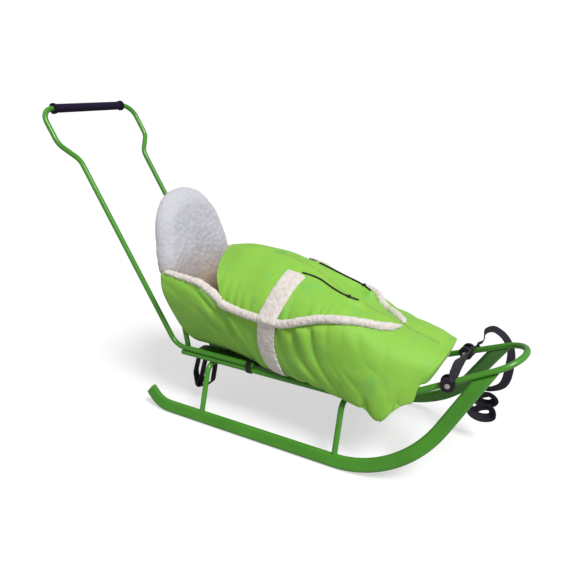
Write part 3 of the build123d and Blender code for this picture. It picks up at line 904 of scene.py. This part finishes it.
def make_back():
    """Padded back that slips over the backrest: fleece in front, nylon behind."""
    half, rings = 61, 26
    ends = [back_edge(u) for u in np.linspace(0, 1, half)]
    edge = ends + [(-y, z) for y, z in ends[-2:0:-1]]
    rows, behind = [], []
    for face in (1, -1):
        for r in np.linspace(0, 1, rings)[::face]:
            row = []
            for edge_y, edge_z in edge:
                y, z = edge_y * r, BACK_MID_Z + (edge_z - BACK_MID_Z) * r
                thick = BACK_T / 2 * (1 - r ** 10) ** 0.5
                thick += 5.0 * wave(y, z, face * 50, 80.0) * (1 - r ** 4)
                dent = 9.0 * exp(-((y - 0.1 * (z - BACK_MID_Z)) / 16.0) ** 2)
                dent *= exp(-((z - 430.0) / 90.0) ** 2)
                swell = face * thick - BACK_CROWN * r ** 8
                if face > 0:
                    swell -= dent + 9.0 * (1 - r * r) ** 2 - 3.0 * exp(-((r - 0.82) / 0.1) ** 2)
                swell -= BACK_DROOP * max((z - 448.0) / 230.0, 0.0) ** 1.5
                row.append(at(BACK_X - BACK_LEAN * (z - BACK_FOOT) + swell, y, z))
            rows.append(row)
            behind.append(face < 0 and r < 0.93)
    piece = grid_object("bag_back_soft", rows, [SOFT_FLEECE, NYLON], round_rows=True)
    for face in piece.data.polygons:
        face.material_index = int(behind[face.vertices[0] // len(edge)])
    weld(piece)
    subdivide(piece)
    curl(piece, 0.0018, 0.012)
    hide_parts("bag_back")


make_back()


# Stitches

def surface_height(x, y):
    """Height of the outer nylon under a point, in scene metres."""
    hits = []
    for piece in (tub, apron):
        hit, place, _, _ = piece.ray_cast(Vector((x, y, 1.0)), Vector((0, 0, -1)))
        if hit:
            hits.append(place.z)
    return max(hits) if hits else None


def stitch(name, line, long=5.0, gap=2.6, radius=0.8):
    """Row of stitches that lies on the nylon along points given as x and y in millimetres."""
    line = [at(x, y, 0) for x, y in line]
    for point in line:
        point.z = surface_height(point.x, point.y)
    run = np.concatenate([[0], np.cumsum([(b - a).length for a, b in zip(line, line[1:])])])
    coords = np.array(line)

    def along_line(distance):
        return Vector([np.interp(distance, run, coords[:, k]) for k in range(3)])

    vertices, faces = [], []
    for start in np.arange(0, run[-1] - long * MM, (long + gap) * MM):
        first, last = along_line(start), along_line(start + long * MM)
        along = (last - first).normalized()
        across = along.cross(Vector((0, 0, 1))).normalized()
        up = across.cross(along)
        base = len(vertices)
        for t, size, lift in ((0.0, 0.35, -0.5), (0.25, 1.0, 0.5), (0.75, 1.0, 0.5), (1.0, 0.35, -0.5)):
            middle = first.lerp(last, t) + up * radius * lift * MM
            for a in np.linspace(0, 2 * pi, 6, endpoint=False):
                vertices.append(middle + radius * size * MM * (cos(a) * across + sin(a) * up))
        for ring in range(3):
            for a in range(6):
                b = (a + 1) % 6
                low, high = base + ring * 6, base + (ring + 1) * 6
                faces.append((low + a, low + b, high + b, high + a))
        faces += [tuple(base + a for a in range(6)), tuple(base + 18 + a for a in range(6))]
    mesh = bpy.data.meshes.new(name)
    mesh.from_pydata(vertices, [], faces)
    mesh.update()
    mesh_object(name, mesh, [THREAD])


for number, offset in enumerate((-4.0, 4.0)):
    apron_x = np.linspace(-235.0, TIP_X - 14.0, 90)
    middle_y = np.interp(apron_x, (-235.0, -80.0, 10.0, 60.0, TIP_X), (-6.0, -14.0, -34.0, -26.0, -12.0))
    stitch(f"apron_seam_{number}", [(x, y + offset) for x, y in zip(apron_x, middle_y)])
    toe_x = np.linspace(TIP_X + 6.0, NOSE_X - 4.0, 40)
    stitch(f"toe_seam_{number}", [(x, offset - 6.0) for x in toe_x])


# Webbing

def make_strap(name, table, level, node):
    """Webbing along points in millimetres. Its width lies along the level direction where its turn
    is nought, and else is turned about the path."""
    steps = np.array([p[:3] for p in table])
    run = np.concatenate([[0], np.cumsum(np.linalg.norm(np.diff(steps, axis=0), axis=1))])
    along_strap = through([(r, *p) for r, p in zip(run, table)])
    count = int(run[-1] / 2.5)
    line = [along_strap(r) for r in np.linspace(0, run[-1], count)]
    half_rim = [(-1, 0.6), (-0.94, 1), (-0.5, 1), (0, 1), (0.5, 1), (0.94, 1), (1, 0.6)]
    rim = half_rim + [(-a, -b) for a, b in half_rim]
    rows = []
    for i, (x, y, z, twist) in enumerate(line):
        before, after = line[max(i - 1, 0)], line[min(i + 1, count - 1)]
        along = Vector(after[:3] - before[:3]).normalized()
        flat = along.cross(Vector(level)).normalized()
        wide = flat.cross(along)
        turn = radians(twist)
        wide, flat = wide * cos(turn) + flat * sin(turn), flat * cos(turn) - wide * sin(turn)
        rows.append([at(*(Vector((x, y, z)) + wide * a * WEB_W / 2 + flat * b * WEB_T / 2)) for a, b in rim])
    piece = grid_object(name, rows, [FINISHES["webbing"]], round_rows=True)
    work = bmesh.new()
    work.from_mesh(piece.data)
    bmesh.ops.holes_fill(work, edges=work.edges)
    bmesh.ops.recalc_face_normals(work, faces=work.faces)
    work.to_mesh(piece.data)
    work.free()
    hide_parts(node)


make_strap("tow_strap_soft", TOW_LINE, (0, 1, 0), "tow_strap")
make_strap("cross_strap_soft", CROSS_LINE, (0.9, 0, 0.4), "cross_strap")


# Stage

def add_camera():
    """Camera at the photograph's place and angle."""
    across = Vector((cos(AZIMUTH), sin(AZIMUTH), 0))
    ahead = Vector((-sin(AZIMUTH) * cos(ELEVATION), cos(AZIMUTH) * cos(ELEVATION), -sin(ELEVATION)))
    up = across.cross(ahead)
    right = across * cos(ROLL) + up * sin(ROLL)
    top = up * cos(ROLL) - across * sin(ROLL)
    data = bpy.data.cameras.new("camera")
    data.lens = LENS
    data.sensor_width = LENS
    camera = bpy.data.objects.new("camera", data)
    camera.matrix_world = Matrix.Translation(CAMERA_AT) @ Matrix((right, top, -ahead)).transposed().to_4x4()
    bpy.context.scene.collection.objects.link(camera)
    bpy.context.scene.camera = camera


def add_sun(name, towards, strength, spread):
    """Soft sun that shines from a direction."""
    data = bpy.data.lights.new(name, "SUN")
    data.energy = strength
    data.angle = radians(spread)
    lamp = bpy.data.objects.new(name, data)
    lamp.rotation_euler = Vector(towards).to_track_quat("Z", "Y").to_euler()
    bpy.context.scene.collection.objects.link(lamp)


def add_floor():
    """Pale floor, white to the camera outside the sled's soft shadow."""
    size = 40.0
    corners = [(x, y, -0.0005) for y in (-size, size) for x in (-size, size)]
    mesh = bpy.data.meshes.new("floor")
    mesh.from_pydata(corners, [], [(0, 1, 3, 2)])
    tones = [(level, level, level) for level in (FLOOR_BOUNCE, FLOOR_SEEN)]
    material, tree, bsdf = shader("floor", tones[0], 0.9, Specular_IOR_Level=0.1)
    seen = add(tree, "ShaderNodeLightPath").outputs["Is Camera Ray"]
    tree.links.new(ramp(tree, seen, tones, 0.0, 1.0), bsdf.inputs["Base Color"])
    glow = add(tree, "ShaderNodeEmission")
    mix = add(tree, "ShaderNodeMixShader", {1: bsdf.outputs["BSDF"], 2: glow.outputs["Emission"]})
    tree.links.new(map_range(tree, seen, given=(0.0, FLOOR_GLOW)), mix.inputs["Fac"])
    tree.links.new(mix.outputs["Shader"], tree.nodes["Material Output"].inputs["Surface"])
    mesh.materials.append(material)
    floor = bpy.data.objects.new("floor", mesh)
    bpy.context.scene.collection.objects.link(floor)


def add_world():
    """White surround: full white to the camera, softer as light."""
    world = bpy.data.worlds.new("studio")
    world.use_nodes = True
    tree = world.node_tree
    background = tree.nodes["Background"]
    background.inputs["Color"].default_value = (1, 1, 1, 1)
    seen = add(tree, "ShaderNodeLightPath").outputs["Is Camera Ray"]
    tree.links.new(map_range(tree, seen, given=(SKY_LIGHT, 1.0)), background.inputs["Strength"])
    bpy.context.scene.world = world


add_camera()
add_floor()
add_world()
add_sun("key", KEY_FROM, KEY_POWER, KEY_SPREAD)
bpy.context.scene.view_settings.view_transform = "Standard"
